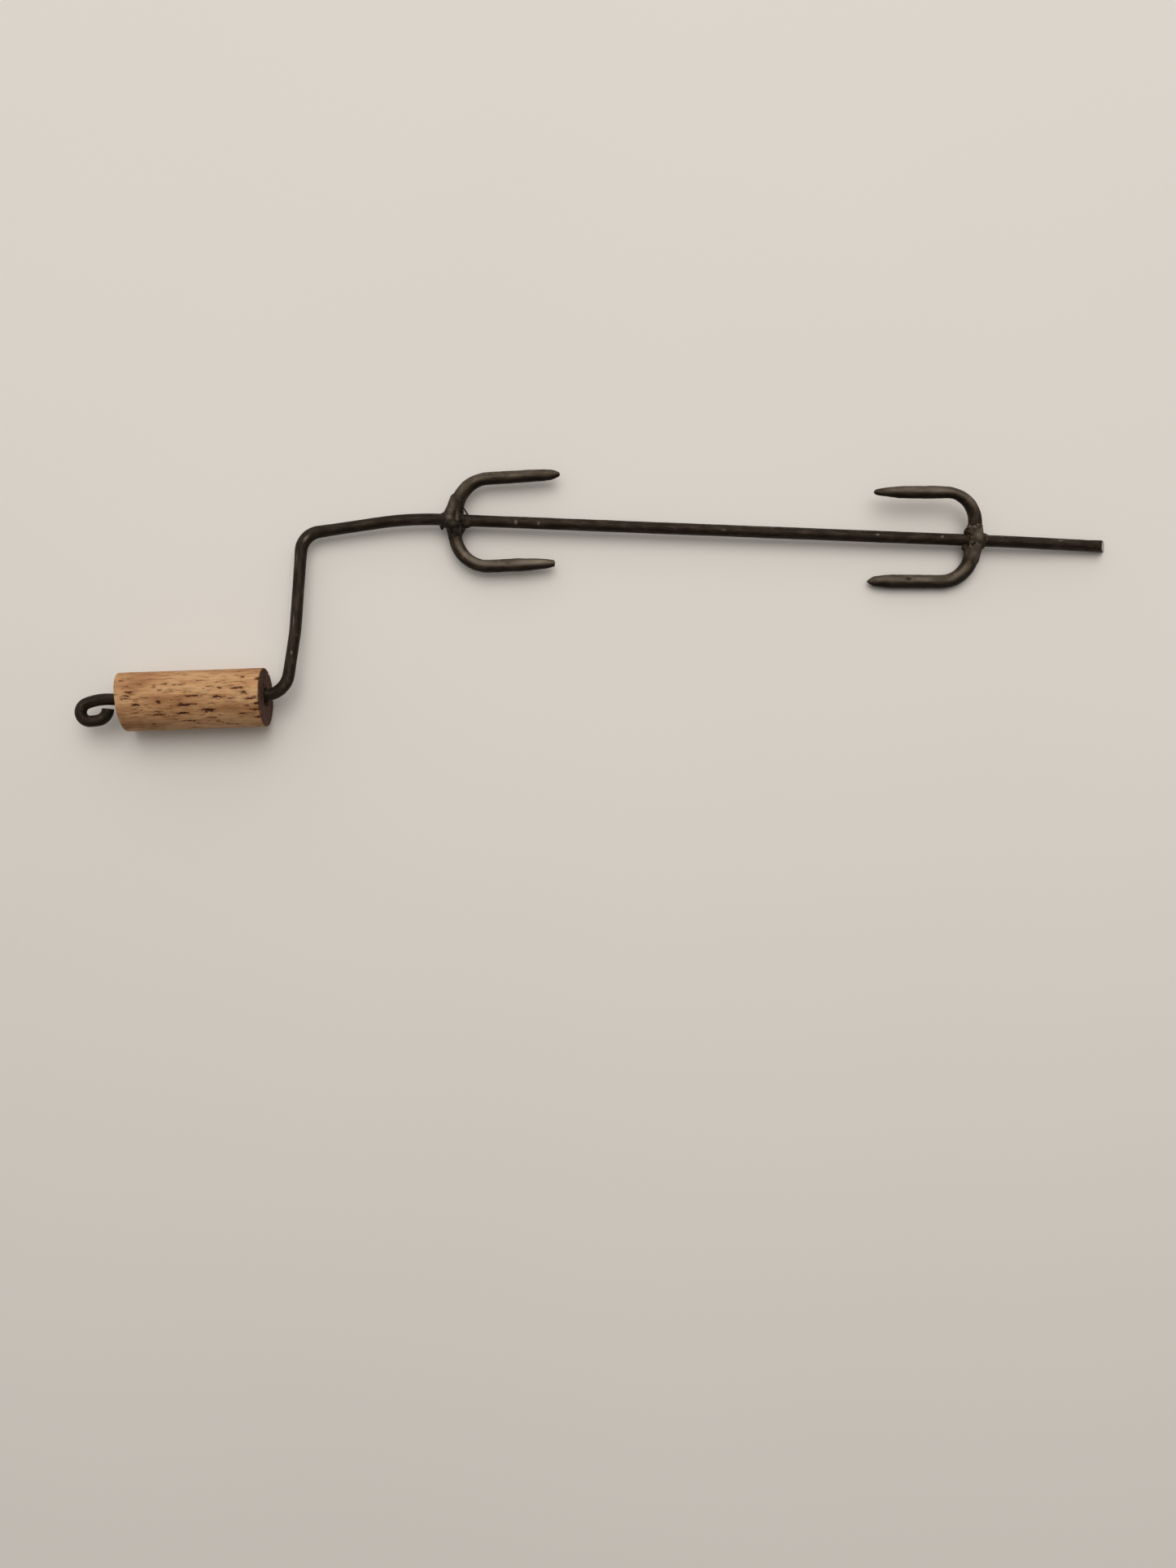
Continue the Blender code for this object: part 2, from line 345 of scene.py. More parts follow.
# Soot on the welds, also used as painted shade in their pits and grooves
WELD_SOOT_AND_SHADE = (0.006, 0.005, 0.004)
WOOD_TONES = ((0.33, 0.15, 0.062), (0.46, 0.245, 0.11), (0.56, 0.33, 0.158), (0.49, 0.26, 0.12))
WOOD_DASHES = (0.2, 0.078, 0.026)
WOOD_STAIN = (0.23, 0.09, 0.03)
WOOD_PORE = (0.075, 0.024, 0.008)
END_GRAIN_TONES = ((0.024, 0.009, 0.004), (0.095, 0.035, 0.015))
TABLE_TONES = ((0.73, 0.698, 0.657), (0.745, 0.713, 0.672))
# How dark the painted shade at the table's -Y edge is
TABLE_FRONT_SHADE = 0.86


class Nodes:
    """A short way to write a material's nodes."""

    def __init__(self, name, **settings):
        self.material = bpy.data.materials.new(name)
        self.material.use_nodes = True
        self.tree = self.material.node_tree
        self.shader = self.tree.nodes["Principled BSDF"]
        for key, value in settings.items():
            self.shader.inputs[key.replace("_", " ")].default_value = value

    def node(self, kind, inputs=None, **settings):
        made = self.tree.nodes.new(kind)
        for key, value in settings.items():
            setattr(made, key, value)
        for key, value in (inputs or {}).items():
            if hasattr(value, "is_linked"):
                self.tree.links.new(value, made.inputs[key])
            else:
                made.inputs[key].default_value = value
        return made

    def attribute(self, name):
        return self.node("ShaderNodeAttribute", attribute_name=name)

    def stretched(self, vector, scale):
        return self.node("ShaderNodeMapping", {"Vector": vector, "Scale": scale}).outputs["Vector"]

    def noise(self, vector, scale, detail, roughness=0.55):
        inputs = {"Vector": vector, "Scale": scale, "Detail": detail, "Roughness": roughness}
        return self.node("ShaderNodeTexNoise", inputs).outputs["Fac"]

    def ramp(self, value, stops):
        """A colour ramp through (position, colour) stops, or (position, number) stops."""
        made = self.node("ShaderNodeValToRGB", {"Fac": value})
        elements = made.color_ramp.elements
        while len(elements) < len(stops):
            elements.new(0.5)
        for element, (position, colour) in zip(elements, stops):
            element.position = position
            element.color = (*colour, 1) if isinstance(colour, tuple) else (colour, colour, colour, 1)
        return made.outputs["Color"]

    def mix(self, share, first, second, blend="MIX"):
        made = self.node("ShaderNodeMix", data_type="RGBA", blend_type=blend)
        for key, value in ((0, share), (6, first), (7, second)):
            if hasattr(value, "is_linked"):
                self.tree.links.new(value, made.inputs[key])
            else:
                made.inputs[key].default_value = value if key == 0 else (*value, 1)
        return made.outputs[2]

    def math(self, operation, first, second):
        return self.node("ShaderNodeMath", {0: first, 1: second}, operation=operation).outputs[0]

    def bump(self, height, strength, distance):
        inputs = {"Height": height, "Strength": strength, "Distance": distance * MM}
        return self.node("ShaderNodeBump", inputs).outputs["Normal"]

    def connect(self, **outputs):
        for key, value in outputs.items():
            self.tree.links.new(value, self.shader.inputs[key.replace("_", " ")])
        return self.material


def dark_steel(name, tones, rubbed):
    """Blackened mild steel: near-black scale, drawn streaks, dark marks, bright nicks and a bare cut end, with
    a painted highlight on the tines' upper sides and painted shade on their -Y sides and in their dents.

    Rubbed is the tone of the high spots.
    """
    made = Nodes(name, Metallic=0.4, Specular_IOR_Level=0.1)
    flow = made.attribute("flow").outputs["Vector"]
    streaks = made.noise(made.stretched(flow, (0.55, 5.0, 5.0)), 1.0, 4.0)
    blotches = made.noise(made.stretched(flow, (0.45, 1.1, 1.1)), 1.0, 3.0)
    grains = made.noise(flow, 7.0, 4.0, 0.65)
    tone = made.math("ADD", made.math("MULTIPLY", streaks, 0.45), made.math("MULTIPLY", blotches, 0.55))
    scale_colour = made.ramp(tone, tuple(zip((0.33, 0.47, 0.56, 0.66), tones)))
    grain_tone = made.ramp(grains, ((0.35, 0.5), (0.6, 1.0), (0.75, 1.35)))
    colour = made.mix(0.6, scale_colour, grain_tone, "MULTIPLY")
    raised = made.ramp(made.node("ShaderNodeNewGeometry").outputs["Pointiness"], ((0.5, 0.0), (0.56, 1.0)))
    colour = made.mix(made.math("MULTIPLY", raised, 0.35), colour, rubbed)
    # Dark marks such as the squeeze mark and burnt scale, and painted shade on the tines' -Y sides and in
    # their dents
    dark = made.attribute("dark_mark_and_shade").outputs["Fac"]
    colour = made.mix(dark, colour, STEEL_DARK_AND_SHADE)
    # Real nicks on the rod, and the painted highlight on the tines' upper sides, which face the lamp
    nicks = made.attribute("nick_and_highlight").outputs["Fac"]
    colour = made.mix(nicks, colour, NICK_AND_HIGHLIGHT_STEEL)
    bare = made.attribute("bare").outputs["Fac"]
    colour = made.mix(bare, colour, BARE_STEEL)
    rough = made.ramp(grains, ((0.3, 0.38), (0.7, 0.56)))
    relief = made.math("ADD", made.math("MULTIPLY", streaks, 0.6), grains)
    normal = made.bump(relief, 0.6, 0.06)
    return made.connect(Base_Color=colour, Roughness=rough, Normal=normal)


def weld_metal():
    """Weld metal under the same scale, greyer and more matte, with crowns lightened partly by wear and partly
    as painted highlight, painted shade in its crevices, and pits and grooves darkened by soot and painted
    shade.
    """
    made = Nodes("weld_metal", Metallic=0.3, Specular_IOR_Level=0.1)
    place = made.stretched(made.node("ShaderNodeTexCoord").outputs["Object"], (1 / MM, 1 / MM, 1 / MM))
    patches = made.noise(place, 1.5, 3.0)
    grains = made.noise(place, 8.0, 4.0, 0.65)
    crust = made.ramp(patches, tuple(zip((0.35, 0.5, 0.6, 0.72), WELD_TONES)))
    colour = made.mix(0.6, crust, made.ramp(grains, ((0.35, 0.6), (0.6, 1.0), (0.75, 1.35))), "MULTIPLY")
    # Crowns lightened partly by wear and partly as painted highlight
    crown_wear_and_highlight = made.attribute("crown_wear_and_highlight").outputs["Fac"]
    crown_highlight_tone = made.ramp(grains, tuple(zip((0.35, 0.7), WELD_CROWN_WEAR_AND_HIGHLIGHT_TONES)))
    colour = made.mix(crown_wear_and_highlight, colour, crown_highlight_tone)
    # Painted shade where the weld's surface is hollow
    point = made.node("ShaderNodeNewGeometry").outputs["Pointiness"]
    colour = made.mix(made.ramp(point, ((0.4, 0.8), (0.475, 0.0))), colour, WELD_CREVICE_SHADE)
    # Soot, and painted shade in pits and grooves
    soot_and_shade = made.attribute("soot_and_shade").outputs["Fac"]
    colour = made.mix(soot_and_shade, colour, WELD_SOOT_AND_SHADE)
    rough = made.ramp(grains, ((0.3, 0.5), (0.7, 0.7)))
    normal = made.bump(made.math("ADD", made.math("MULTIPLY", patches, 0.7), grains), 0.7, 0.07)
    return made.connect(Base_Color=colour, Roughness=rough, Normal=normal)


def open_grained_wood():
    """Open-grained tan hardwood: fine fibres, warm bands, dark open pores and dark brown end grain."""
    made = Nodes("open_grained_wood", Metallic=0.0, Specular_IOR_Level=0.2)
    flow = made.attribute("flow").outputs["Vector"]
    bands = made.noise(made.stretched(flow, (0.09, 0.4, 0.4)), 1.0, 4.0)
    fibres = made.noise(made.stretched(flow, (0.4, 5.0, 5.0)), 1.0, 5.0, 0.62)
    flecks = made.noise(made.stretched(flow, (1.0, 7.5, 7.5)), 1.0, 3.0)
    wood = made.ramp(bands, tuple(zip((0.32, 0.45, 0.56, 0.68), WOOD_TONES)))
    colour = made.mix(0.75, wood, made.ramp(fibres, ((0.3, 0.48), (0.48, 0.86), (0.7, 1.13))), "MULTIPLY")
    dashes = made.ramp(flecks, ((0.58, 0.0), (0.68, 1.0)))
    colour = made.mix(made.math("MULTIPLY", dashes, 0.6), colour, WOOD_DASHES)
    stain = made.attribute("stain").outputs["Fac"]
    colour = made.mix(made.math("MULTIPLY", stain, 0.7), colour, WOOD_STAIN)
    pore = made.attribute("pore").outputs["Fac"]
    colour = made.mix(made.ramp(pore, ((0.1, 0.0), (0.7, 1.0))), colour, WOOD_PORE)
    end = made.attribute("end").outputs["Fac"]
    end_grain = made.noise(flow, 2.2, 4.0, 0.6)
    end_colour = made.ramp(end_grain, tuple(zip((0.35, 0.65), END_GRAIN_TONES)))
    colour = made.mix(end, colour, end_colour)
    rough = made.ramp(fibres, ((0.3, 0.75), (0.7, 0.58)))
    relief = made.math("ADD", fibres, made.math("MULTIPLY", flecks, -0.8))
    normal = made.bump(relief, 0.7, 0.09)
    return made.connect(Base_Color=colour, Roughness=rough, Normal=normal)


def pale_floor():
    """A pale table top, faintly clouded, with painted shade that darkens it from the middle towards its -Y
    edge.
    """
    made = Nodes("pale_table", Roughness=0.75, Specular_IOR_Level=0.2)
    place = made.node("ShaderNodeTexCoord").outputs["Object"]
    cloud = made.noise(place, 9.0, 2.0)
    colour = made.ramp(cloud, tuple(zip((0.3, 0.7), TABLE_TONES)))
    # Painted shade darkens the table from the middle towards its -Y edge
    away = made.node("ShaderNodeSeparateXYZ", {"Vector": place}).outputs["Y"]
    shade = made.ramp(made.math("ADD", away, 0.5), ((0.36, TABLE_FRONT_SHADE), (0.5, 1.0)))
    return made.connect(Base_Color=made.mix(1.0, colour, shade, "MULTIPLY"))


# Pieces

# Rings that close a wire's end: distance from the end, share of full size
CUT_CAP = ((0.0, 0.03), (0.0, 0.4), (0.0, 0.72), (0.0, 0.84), (0.0, 0.93), (0.03, 0.98), (0.09, 1.0))
HIDDEN_CAP = ((0.0, 0.05), (0.0, 1.0))

# Nicks in the rod: place along X, or along Y on the arm, then angle round the rod, half length and half width
SPIT_NICKS = (
    (-11.3, math.radians(100), 0.14, 0.3),
    (-8.2, math.radians(105), 0.12, 0.2),
    (37.9, math.radians(80), 0.2, 0.12),
    (46.8, math.radians(75), 0.14, 0.14),
    (63.0, math.radians(60), 0.2, 0.1),
    (17.0, math.radians(95), 0.3, 0.06),
)
ARM_NICKS = (
    (8.6, math.radians(100), 0.5, 0.16),
    (5.6, math.radians(60), 0.7, 0.06),
    (-3.2, math.radians(75), 0.8, 0.05),
    (-7.5, math.radians(95), 0.2, 0.1),
)
NICK_SHADE = 0.6
SPIT_TIP_SLANT_REACH = 2.0
SQUEEZE_MARK_AT = 1.1
SQUEEZE_MARK_TURN = 1.8


def make_rod(finish):
    """The rod: drawn wire, flattened a little in its bends, squeezed and slanted where it was nipped off."""
    wire = Wire(rod_path(), ROD_STEP, ROD_SIDES, (CUT_CAP, CUT_CAP))
    from_tip = wire.along
    elbow_at = from_tip[np.argmin(np.linalg.norm(wire.centres - np.array(ELBOW), axis=1))]
    foot_at = from_tip[np.argmin(np.linalg.norm(wire.centres - np.array(ARM_FOOT), axis=1))]
    bent = bump_at(from_tip - elbow_at, 2.6) + 0.5 * bump_at(from_tip - foot_at, 2.4)
    nipped = bump_at(from_tip, 1.5)
    wire.build(
        half_width=ROD_RADIUS * (1 + 0.11 * bent),
        half_height=ROD_RADIUS * (1 - 0.1 * bent - 0.03 * nipped),
        squareness=2 + 1.4 * nipped,
    )
    slant = math.tan(SPIT_TIP_SLANT) * np.maximum(0, 1 - from_tip / SPIT_TIP_SLANT_REACH)
    slide = wire.rise * slant[:, None]
    wire.points = wire.points + wire.ahead[:, None] * slide[..., None]
    places = wire.flat_points()
    handled = 0.014 * smooth_noise(places, 1.6, 1) + 0.007 * smooth_noise(places, 0.45, 2)
    slow = 0.012 * smooth_noise(places, 6.0, 3)
    wire.push(handled + slow)

    nicks = np.zeros(wire.across.shape)
    turned = np.arctan2(wire.rise, wire.across)
    on_spit = from_tip < elbow_at
    on_arm = (from_tip > elbow_at) & (from_tip < foot_at)
    for stretch, axis, marks in ((on_spit, 0, SPIT_NICKS), (on_arm, 1, ARM_NICKS)):
        for place, angle, length, width in marks:
            at = from_tip[np.argmin(np.where(stretch, np.abs(wire.centres[:, axis] - place), np.inf))]
            around = turn_from(turned, angle) * ROD_RADIUS
            nicks += bump_at((from_tip - at)[:, None], length) * bump_at(around, width)
    cut_face = (from_tip < 0.02) & (wire.shares < 0.8)
    bare = np.where(cut_face, 1.0, 0.0)[:, None] * np.ones(wire.across.shape)
    past_mark = turned - SQUEEZE_MARK_TURN
    squeezed = bump_at(from_tip[:, None] - SQUEEZE_MARK_AT - 0.35 * past_mark, 0.13) * bump_at(past_mark, 0.4)
    attributes = {
        "flow": wire.flow.reshape(-1, 3),
        "nick_and_highlight": np.clip(nicks * NICK_SHADE, 0, 1).ravel(),
        "dark_mark_and_shade": squeezed.ravel(),
        "bare": bare.ravel(),
    }
    finish_piece("rod", wire.mesh("rod"), attributes, finish, "spit_rod", "spit")


def profile(distance, outline):
    """A radius at each distance from the tip, through the outline's (distance, radius) points."""
    return np.interp(distance, [point[0] for point in outline], [point[1] for point in outline])


# The side of a tine that gets a painted highlight: up, and a little towards +Y, where the lamp is
LIT_SIDE = np.array((0.0, 0.4, 0.917))
TINE_FACETS = 0.05
BURNT_LENGTH = 1.1
BURNT_FADE = 1.7


def make_tine(name, path, outline, dents, highlight_strength, seed, finish):
    """A bent tine with a ground point and a lightly hammered skin, a painted highlight on its upper side and
    painted shade on its -Y side.

    The outline is (distance from tip, radius) and dents are (distance from tip, angle, size, depth), darkened
    with painted shade. Highlight strength is how bright the painted highlight on the upper side is. The
    stretch beside the weld is burnt and has no painted highlight.
    """
    wire = Wire(path, TINE_STEP, TINE_SIDES, (HIDDEN_CAP, ()))
    left = wire.length - wire.along
    radius = profile(left, outline)
    flat = 0.05 * bump_at(left - 2.2, 2.2)
    wire.build(radius, radius * (1 - flat), 2 + 0.3 * bump_at(left - 3, 3))
    places = wire.flat_points()
    skin = TINE_FACETS * (hammered(places, 1.25, seed) - 0.25) + 0.012 * smooth_noise(places, 0.5, seed)
    skin = skin + 0.02 * smooth_noise(places, 2.2, seed + 1)
    turned = np.arctan2(wire.rise, wire.across)
    pits = np.zeros(wire.across.shape)
    for reach, angle, size, depth in dents:
        around = turn_from(turned, angle) * radius[:, None]
        pits += depth * bump_at((left - reach)[:, None], size) * bump_at(around, size)
    facing = unit(wire.outward)
    # Painted highlight on the side that faces the lamp
    lit_side = np.clip((facing @ LIT_SIDE - 0.72) / 0.25, 0, 1)
    flow = wire.flow.reshape(-1, 3)
    patchy = 0.6 + 0.9 * smooth_noise(flow * np.array((0.35, 1, 1)), 0.8, seed + 5).reshape(pits.shape)
    away_from_weld = np.clip((wire.along - BURNT_LENGTH) / BURNT_FADE, 0, 1)[:, None]
    burnt = 0.6 * (1 - away_from_weld)
    # Painted shade on the tine's -Y side, away from the lamp
    shaded_side = 0.8 * np.clip((-facing[..., 1] - 0.1) / 0.65, 0, 1)
    scale = np.clip(radius / radius.max() * 1.4, 0, 1)[:, None]
    wire.push(-(skin.reshape(pits.shape) * scale + pits))
    attributes = {
        "flow": flow + np.array((seed * 31.0, 0, 0)),
        "nick_and_highlight": np.clip(highlight_strength * lit_side * patchy * away_from_weld, 0, 1).ravel(),
        # Painted shade in the dents and on the -Y side, with real burnt scale beside the weld
        "dark_mark_and_shade": np.clip(np.maximum(np.maximum(pits * 4, shaded_side), burnt), 0, 1).ravel(),
        "bare": np.zeros(pits.size),
    }
    finish_piece(name + "_bar", wire.mesh(name), attributes, finish, name, "spit")


def near_line(places, start, end):
    """How far each place is from a line between two points, as seen from above."""
    start, end = np.array(start), np.array(end)
    along = end - start
    share = np.clip((places[:, :2] - start) @ along / (along @ along), 0, 1)
    return np.linalg.norm(places[:, :2] - start - share[:, None] * along, axis=1)


MELT_VOXEL = 0.06


def melted(name, blobs):
    """One closed mesh of (centre, half sizes, lean about Z) blobs that have run together."""
    maker = bmesh.new()
    for centre, sizes, lean in blobs:
        place = Matrix.Translation(centre) @ Matrix.Rotation(lean, 4, "Z") @ Matrix.Diagonal((*sizes, 1))
        bmesh.ops.create_icosphere(maker, subdivisions=4, radius=1, matrix=place)
    draft = bpy.data.meshes.new(name + "_draft")
    maker.to_mesh(draft)
    maker.free()
    holder = bpy.data.objects.new(name + "_draft", draft)
    bpy.context.scene.collection.objects.link(holder)
    melt = holder.modifiers.new("melt", "REMESH")
    melt.mode = "VOXEL"
    melt.voxel_size = MELT_VOXEL
    ease = holder.modifiers.new("ease", "SMOOTH")
    ease.factor = 0.5
    ease.iterations = 12
    graph = bpy.context.evaluated_depsgraph_get()
    mesh = bpy.data.meshes.new_from_object(holder.evaluated_get(graph))
    bpy.data.objects.remove(holder)
    mesh.name = name
    return mesh


def point_vectors(mesh, key):
    """One of a mesh's own vectors, such as its normals, for each of its points."""
    values = np.empty(len(mesh.vertices) * 3)
    mesh.vertices.foreach_get(key, values)
    return values.reshape(-1, 3)


def make_lump(name, node, fork, blobs, pits, crowns, grooves, ripples, tarnish, seed, finish):
    """Weld metal: melted blobs, then rippled, grooved, pitted and roughened. Places are from the crossing.

    Pits are (centre, size, depth), crowns (centre, half sizes, height, share of wear and painted highlight),
    grooves on the upper side (start, end, half width, depth), and ripples (centre, radius, pitch, height).
    Pits and grooves are darkened with painted shade. Tarnish is the soot all over.
    """
    mesh = melted(name, blobs)
    places = point_vectors(mesh, "co")
    normals = point_vectors(mesh, "normal")
    count = len(places)
    lift = -0.03 * hammered(places, 0.9, seed) + 0.025 * smooth_noise(places, 0.6, seed)
    lift = lift + 0.012 * smooth_noise(places, 0.22, seed + 1)
    crown_highlight = np.zeros(count)
    soot_and_shade = np.zeros(count)
    for centre, size, height, share in crowns:
        near = bump_at(np.linalg.norm((places - np.array(centre)) / np.array(size), axis=1), 1)
        lift += height * near
        # The crown's share of wear and painted highlight
        crown_highlight = np.maximum(crown_highlight, near * share)
    for centre, size, depth in pits:
        near = bump_at(np.linalg.norm(places - np.array(centre), axis=1), size)
        lift -= depth * near
        # Painted shade in the pit
        soot_and_shade = np.maximum(soot_and_shade, near)
    upper_side = np.clip(normals[:, 2] * 2, 0, 1)
    for start, end, half_width, depth in grooves:
        near = bump_at(near_line(places, start, end), half_width) * upper_side
        lift -= depth * near
        # Painted shade in the groove
        soot_and_shade = np.maximum(soot_and_shade, 0.7 * near)
    for centre, size, pitch, height in ripples:
        reach = np.linalg.norm((places - np.array(centre))[:, :2], axis=1)
        window = bump_at(reach - size, 1.2 * pitch) * (places[:, 1] > centre[1])
        lift += height * np.sin(2 * np.pi * reach / pitch) * window * upper_side
    places = places + normals * lift[:, None] + np.array(fork)
    places[:, 2] = np.maximum(places[:, 2], 0.0)
    mesh.vertices.foreach_set("co", places.ravel())
    attributes = {"crown_wear_and_highlight": np.clip(crown_highlight, 0, 1), "soot_and_shade": np.clip(soot_and_shade, tarnish, 1)}
    finish_piece(name, mesh, attributes, finish, node, "spit")


def bar(start, end, first, last):
    """Blobs in a row that melt into a bar, whose radius goes from first to last."""
    start, end = Vector(start), Vector(end)
    count = max(2, math.ceil((end - start).length / 0.2))
    blobs = []
    for i in range(count + 1):
        radius = first + (last - first) * i / count
        blobs.append((start.lerp(end, i / count), (radius, radius, radius), 0))
    return blobs


# The grip's larger pores: reach from its inner face, degrees from its top towards the spit, half length,
# half width, depth
MAIN_PORES = (
    (6.8, -27, 1.0, 0.21, 0.3),
    (5.4, 0, 0.85, 0.13, 0.2),
    (2.8, 16, 1.2, 0.1, 0.16),
    (2.0, 7, 0.34, 0.14, 0.2),
    (5.2, 17, 0.4, 0.1, 0.15),
    (8.9, 3.5, 1.2, 0.1, 0.15),
    (13.4, -6.5, 0.26, 0.2, 0.2),
    (12.6, 30, 0.45, 0.13, 0.1),
    (17.3, 14, 0.75, 0.1, 0.14),
    (16.5, -11, 0.55, 0.13, 0.2),
    (13.7, -33, 0.95, 0.1, 0.16),
    (9.8, -14, 1.5, 0.12, 0.18),
    (10.4, -31, 0.9, 0.12, 0.2),
    (0.4, -28, 0.6, 0.13, 0.26),
    (0.4, -45, 0.7, 0.12, 0.26),
    (1.1, -5.5, 0.85, 0.1, 0.2),
    (2.3, 42, 0.3, 0.15, 0.14),
    (0.3, 36, 0.32, 0.14, 0.24),
    (2.4, -36, 0.6, 0.1, 0.14),
    (0.3, -16, 0.6, 0.11, 0.22),
    (18.4, 41, 0.3, 0.13, 0.14),
    (6.5, -43, 0.75, 0.09, 0.14),
    (14.7, -55, 0.6, 0.09, 0.12),
    (9.8, -50, 1.4, 0.08, 0.12),
    (17.8, 7, 0.55, 0.1, 0.12),
    (14.3, 42, 0.95, 0.07, 0.08),
)
SMALL_PORES = 460
PORE_SEED = 4
GRIP_AROUND = 288
GRIP_ALONG = 225
SAWN_EDGE = 0.16
TORN_REACH = 0.7


def grip_outline():
    """(reach, radius) points round a section of the grip: sawn face, skin, worn edge, outer face and bore."""
    worn_radius = GRIP_RADIUS - GRIP_WORN_EDGE
    worn_reach = GRIP_LENGTH - GRIP_WORN_EDGE
    worn = np.linspace(0, np.pi / 2, 6)[1:]
    outline = [(0.0, radius) for radius in np.linspace(GRIP_BORE_RADIUS, GRIP_RADIUS - SAWN_EDGE, 14)]
    outline += [(0.03, GRIP_RADIUS - 0.08), (0.08, GRIP_RADIUS - 0.03)]
    outline += [(reach, GRIP_RADIUS) for reach in np.linspace(SAWN_EDGE, worn_reach, GRIP_ALONG)]
    outline += [
        (worn_reach + GRIP_WORN_EDGE * math.sin(turn), worn_radius + GRIP_WORN_EDGE * math.cos(turn))
        for turn in worn
    ]
    outline += [(GRIP_LENGTH, radius) for radius in np.linspace(worn_radius, GRIP_BORE_RADIUS, 13)[1:]]
    outline += [(reach, GRIP_BORE_RADIUS) for reach in np.linspace(GRIP_LENGTH, 0, 14)[1:-1]]
    return np.array(outline)


def grip_pores():
    """All the pores, the small ones strewn at random, as (reach, angle, half length, half width, depth)."""
    pores = [(reach, math.radians(degrees), *rest) for reach, degrees, *rest in MAIN_PORES]
    draws = random.Random(PORE_SEED)
    for _ in range(SMALL_PORES):
        length = draws.uniform(0.2, 0.75)
        reach = draws.uniform(0, GRIP_LENGTH)
        angle = draws.uniform(-math.pi, math.pi)
        width = draws.uniform(0.045, 0.085)
        depth = draws.uniform(0.025, 0.1)
        pores.append((reach, angle, length, width, depth))
    return pores


def make_grip(finish):
    """A sawn dowel: open pores along its grain, a torn inner rim, a worn outer rim and a loose bore."""
    outline = grip_outline()
    reach = outline[:, :1] + np.zeros(GRIP_AROUND)
    radius = outline[:, 1:] + np.zeros(GRIP_AROUND)
    angle = 2 * np.pi * np.arange(GRIP_AROUND) / GRIP_AROUND + np.zeros(reach.shape)
    skin = np.clip((radius - GRIP_RADIUS + 0.6) / 0.5, 0, 1)
    places = np.stack((reach, radius * np.cos(angle), radius * np.sin(angle)), axis=-1).reshape(-1, 3)

    def grain(stretch, size, seed):
        """Noise on the grip, drawn out along its grain where the stretch is under 1."""
        return smooth_noise(places * np.array((stretch, 1, 1)), size, seed).reshape(reach.shape)

    waver = grain(0.8, 0.5, 5)
    ragged = grain(0.55, 0.15, 10)
    depth = np.zeros(reach.shape)
    stain = np.zeros(reach.shape)
    for place, turn, length, width, deep in grip_pores():
        sideways = turn_from(angle, turn) * GRIP_RADIUS + 0.1 * waver
        lengthways = (reach - place) / length
        shape = bump_at(sideways, width * 1.3) * np.exp(-(lengthways**2)) + 0.6 * ragged - 0.02
        open_share = np.clip((shape - 0.32) / 0.4, 0, 1) * (np.abs(lengthways) < 1.6)
        depth = np.maximum(depth, deep * open_share * (np.abs(sideways) < 3 * width))
        halo = bump_at(sideways, width * 2.6) * np.exp(-((lengthways / 1.4) ** 4))
        stain = np.maximum(stain, halo * min(1, deep / 0.14))

    fibres = grain(0.12, 0.35, 6)
    swell = grain(0.15, 2.2, 7)
    chips = np.clip(grain(0, 0.45, 8), 0, 1)
    saw_marks = grain(1, 0.4, 9)
    torn = np.clip(1 - reach / TORN_REACH, 0, 1) ** 2
    radius = radius - skin * (depth + 0.012 * fibres - 0.03 * swell + 0.3 * chips * torn)
    on_face = np.clip(1 - reach / 0.12, 0, 1)
    reach = reach + on_face * (0.07 * saw_marks + 0.1 * chips)
    outer_face = np.clip((reach - GRIP_LENGTH + 0.1) / 0.1, 0, 1) * (radius > GRIP_BORE_RADIUS + 0.05)
    reach = reach - outer_face * 0.05 * (1 + saw_marks)
    inner_end = np.clip(1.2 - reach / 0.2 - 0.3 * waver, 0, 1)
    outer_end = np.clip((reach - GRIP_LENGTH + 0.12) / 0.1, 0, 1)
    end = np.maximum(np.maximum(inner_end, outer_end), radius < GRIP_BORE_RADIUS + 0.1)

    along = np.array((-math.cos(GRIP_SLOPE), -math.sin(GRIP_SLOPE), 0))
    side = np.array((-math.sin(GRIP_SLOPE), math.cos(GRIP_SLOPE), 0))
    up = np.array((0, 0, 1))
    rise = radius * np.cos(angle)
    reach_over = rise * math.tan(GRIP_SAW_SLANT) - radius * np.sin(angle) * math.tan(GRIP_SAW_TURN)
    lean = reach_over * (np.clip(reach, 0, None) / GRIP_LENGTH) ** 3
    points = np.array(GRIP_FACE) + along * (reach - lean)[..., None]
    points = points + side * (radius * np.sin(angle))[..., None] + up * rise[..., None]
    mesh = new_mesh("grip", points, grid_faces(*reach.shape, joined=True))
    attributes = {"flow": places, "pore": np.clip(depth / 0.15, 0, 1).ravel(), "end": end.ravel()}
    attributes["stain"] = (stain * (0.65 + 0.6 * waver)).clip(0, 1).ravel()
    finish_piece("grip_dowel", mesh, attributes, finish, "wooden_grip", "grip")


